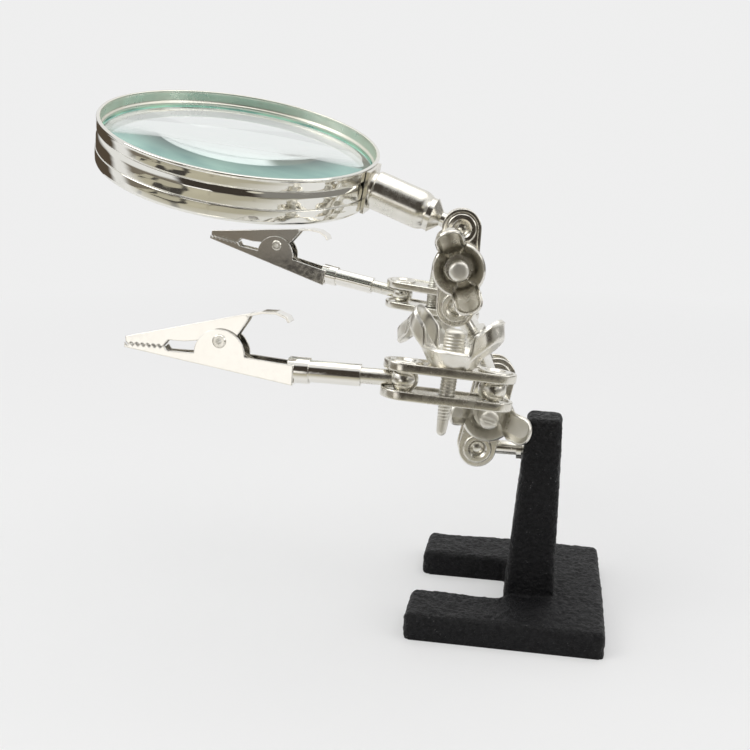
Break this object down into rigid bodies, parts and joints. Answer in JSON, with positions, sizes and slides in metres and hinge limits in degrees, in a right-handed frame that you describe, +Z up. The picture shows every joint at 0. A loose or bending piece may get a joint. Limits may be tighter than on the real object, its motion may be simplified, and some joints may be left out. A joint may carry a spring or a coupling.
{
  "type": "helping hands magnifier",
  "caption": "Bench helper: heavy U-shaped foot with a post, ball-jointed arms with spring clips and a round framed lens on a short handle.",
  "frame": {"origin": "middle of the base's underside", "axes": "+Z up, the clips and the lens reach towards -X, the crossbar lies along Y"},
  "size_m": [0.1329, 0.0959, 0.1289],
  "materials": {
    "black_paint": "black wrinkle paint",
    "bright_steel": "nickel plated, bright",
    "nickel_plate": "nickel plated, pressed sheet",
    "spring_steel": "drawn wire",
    "chrome": "polished plating",
    "glass": "polished, clear with a faint green edge"
  },
  "bodies": {
    "base": {"base_casting": "black_paint"},
    "base_stud": {"base_ball_stud": "bright_steel"},
    "base_clamp": {"base_clamp_plain_plate": "nickel_plate"},
    "base_wing_screw": {"base_clamp_wing_head": "nickel_plate", "base_clamp_screw": "bright_steel"},
    "base_tapped_plate": {"base_clamp_tapped_plate": "nickel_plate"},
    "hub_upright": {"hub_upright": "bright_steel"},
    "crossbar": {"crossbar": "bright_steel"},
    "lens_clamp": {"lens_clamp_plain_plate": "nickel_plate"},
    "lens_wing_screw": {"lens_clamp_wing_head": "nickel_plate", "lens_clamp_screw": "bright_steel"},
    "lens_tapped_plate": {"lens_clamp_tapped_plate": "nickel_plate"},
    "lens_stem": {"lens_ball_stem": "bright_steel"},
    "lens": {"handle_tube": "chrome", "lens_saddle": "chrome", "lens_band": "chrome", "lens_retaining_ring": "chrome", "lens_glass": "glass"},
    "front_clamp": {"front_clamp_plain_plate": "nickel_plate"},
    "front_wing_screw": {"front_clamp_wing_head": "nickel_plate", "front_clamp_screw": "bright_steel"},
    "front_tapped_plate": {"front_clamp_tapped_plate": "nickel_plate"},
    "front_clip_rod": {"front_clip_ball_rod": "bright_steel"},
    "front_clip": {"front_clip_sleeve": "nickel_plate", "front_clip_lower_jaw": "nickel_plate", "front_clip_rivet": "nickel_plate", "front_clip_spring": "spring_steel"},
    "front_clip_jaw": {"front_clip_upper_jaw": "nickel_plate"},
    "back_clamp": {"back_clamp_plain_plate": "nickel_plate"},
    "back_wing_screw": {"back_clamp_wing_head": "nickel_plate", "back_clamp_screw": "bright_steel"},
    "back_tapped_plate": {"back_clamp_tapped_plate": "nickel_plate"},
    "back_clip_rod": {"back_clip_ball_rod": "bright_steel"},
    "back_clip": {"back_clip_sleeve": "nickel_plate", "back_clip_lower_jaw": "nickel_plate", "back_clip_rivet": "nickel_plate", "back_clip_spring": "spring_steel"},
    "back_clip_jaw": {"back_clip_upper_jaw": "nickel_plate"}
  },
  "joints": [
    {"name": "base_stud_turn", "type": "hinge", "parent": "base", "child": "base_stud", "pos_m": [-0.01006, 0, 0.0423], "axis": [1, 0, 0], "range_deg": [-60, 60]},
    {"name": "base_clamp_swing", "type": "hinge", "parent": "base_stud", "child": "base_clamp", "pos_m": [-0.01006, 0, 0.0423], "axis": [-0.1417, 0.9877, -0.066], "range_deg": [-75, 2]},
    {"name": "hub_swing", "type": "hinge", "parent": "base_clamp", "child": "hub_upright", "pos_m": [-0.00618, 0.00179, 0.06081], "axis": [0.1417, -0.9877, 0.066], "range_deg": [-70, 45]},
    {"name": "crossbar_turn", "type": "hinge", "parent": "hub_upright", "child": "crossbar", "pos_m": [-0.01145, 0.00042, 0.06956], "axis": [-0.5114, -0.1332, 0.849], "range_deg": [-75, 75]},
    {"name": "front_clamp_turn", "type": "hinge", "parent": "crossbar", "child": "front_clamp", "pos_m": [-0.0049, -0.03747, 0.06754], "axis": [-0.17, 0.9841, 0.0523], "range_deg": [-75, 75]},
    {"name": "front_clip_swing", "type": "hinge", "parent": "front_clamp", "child": "front_clip_rod", "pos_m": [-0.02311, -0.04234, 0.06992], "axis": [0.1007, 0.1072, 0.9891], "range_deg": [-75, 75]},
    {"name": "front_clip_twist", "type": "hinge", "parent": "front_clip_rod", "child": "front_clip", "pos_m": [-0.02311, -0.04234, 0.06992], "axis": [-0.9988, -0.0401, 0.0297], "range_deg": [-180, 180]},
    {"name": "front_clip_jaw", "type": "hinge", "parent": "front_clip", "child": "front_clip_jaw", "pos_m": [-0.06243, -0.04351, 0.07628], "axis": [0.0424, -0.9959, 0.0797], "range_deg": [-24, 0], "stiffness_Nm_per_rad": 0.02, "springref_deg": 20.05, "deforming": ["front_clip_spring"]},
    {"name": "back_clamp_turn", "type": "hinge", "parent": "crossbar", "child": "back_clamp", "pos_m": [-0.01799, 0.03831, 0.07157], "axis": [-0.17, 0.9841, 0.0523], "range_deg": [-75, 75]},
    {"name": "back_clip_swing", "type": "hinge", "parent": "back_clamp", "child": "back_clip_rod", "pos_m": [-0.03639, 0.04286, 0.07293], "axis": [-0.0694, 0.0172, -0.9974], "range_deg": [-75, 75]},
    {"name": "back_clip_twist", "type": "hinge", "parent": "back_clip_rod", "child": "back_clip", "pos_m": [-0.03639, 0.04286, 0.07293], "axis": [-0.9807, 0.0617, 0.1857], "range_deg": [-180, 180]},
    {"name": "back_clip_jaw", "type": "hinge", "parent": "back_clip", "child": "back_clip_jaw", "pos_m": [-0.07416, 0.04524, 0.08537], "axis": [-0.0628, -0.998, 0], "range_deg": [-24, 0], "stiffness_Nm_per_rad": 0.02, "springref_deg": 20.05, "deforming": ["back_clip_spring"]},
    {"name": "lens_clamp_swing", "type": "hinge", "parent": "hub_upright", "child": "lens_clamp", "pos_m": [-0.01672, -0.00095, 0.0783], "axis": [-0.1, 0.9936, -0.0516], "range_deg": [-60, 65]},
    {"name": "lens_swing", "type": "hinge", "parent": "lens_clamp", "child": "lens_stem", "pos_m": [-0.01608, 0.0001, 0.09726], "axis": [0.1, -0.9936, 0.0516], "range_deg": [-90, 35]},
    {"name": "lens_twist", "type": "hinge", "parent": "lens_stem", "child": "lens", "pos_m": [-0.01608, 0.0001, 0.09726], "axis": [-0.9311, 0.0586, 0.36], "range_deg": [-180, 180]},
    {"name": "base_wing_screw_turn", "type": "hinge", "parent": "base_clamp", "child": "base_wing_screw", "pos_m": [-0.00812, 0.0009, 0.05156], "axis": [0.1417, -0.9877, 0.066], "range_deg": [0, 360]},
    {"name": "base_tapped_plate_slide", "type": "slide", "parent": "base_clamp", "child": "base_tapped_plate", "axis": [-0.1417, 0.9877, -0.066], "range_m": [0, 0.0007]},
    {"name": "lens_wing_screw_turn", "type": "hinge", "parent": "lens_clamp", "child": "lens_wing_screw", "pos_m": [-0.0164, -0.00043, 0.08778], "axis": [0.1, -0.9936, 0.0516], "range_deg": [0, 360]},
    {"name": "lens_tapped_plate_slide", "type": "slide", "parent": "lens_clamp", "child": "lens_tapped_plate", "axis": [-0.1, 0.9936, -0.0516], "range_m": [0, 0.0007]},
    {"name": "front_wing_screw_turn", "type": "hinge", "parent": "front_clamp", "child": "front_wing_screw", "pos_m": [-0.01401, -0.0399, 0.06873], "axis": [0.1007, 0.1072, 0.9891], "range_deg": [0, 360]},
    {"name": "front_tapped_plate_slide", "type": "slide", "parent": "front_clamp", "child": "front_tapped_plate", "axis": [-0.1007, -0.1072, -0.9891], "range_m": [0, 0.0007]},
    {"name": "back_wing_screw_turn", "type": "hinge", "parent": "back_clamp", "child": "back_wing_screw", "pos_m": [-0.02719, 0.04058, 0.07225], "axis": [-0.0694, 0.0172, -0.9974], "range_deg": [0, 360]},
    {"name": "back_tapped_plate_slide", "type": "slide", "parent": "back_clamp", "child": "back_tapped_plate", "axis": [0.0694, -0.0172, 0.9974], "range_m": [0, 0.0007]}
  ],
  "couplings": [
    {"joint": "base_wing_screw_turn", "follows": "base_tapped_plate_slide", "rad_per_m": 8975.9},
    {"joint": "lens_wing_screw_turn", "follows": "lens_tapped_plate_slide", "rad_per_m": 8975.9},
    {"joint": "front_wing_screw_turn", "follows": "front_tapped_plate_slide", "rad_per_m": 8975.9},
    {"joint": "back_wing_screw_turn", "follows": "back_tapped_plate_slide", "rad_per_m": 8975.9}
  ]
}
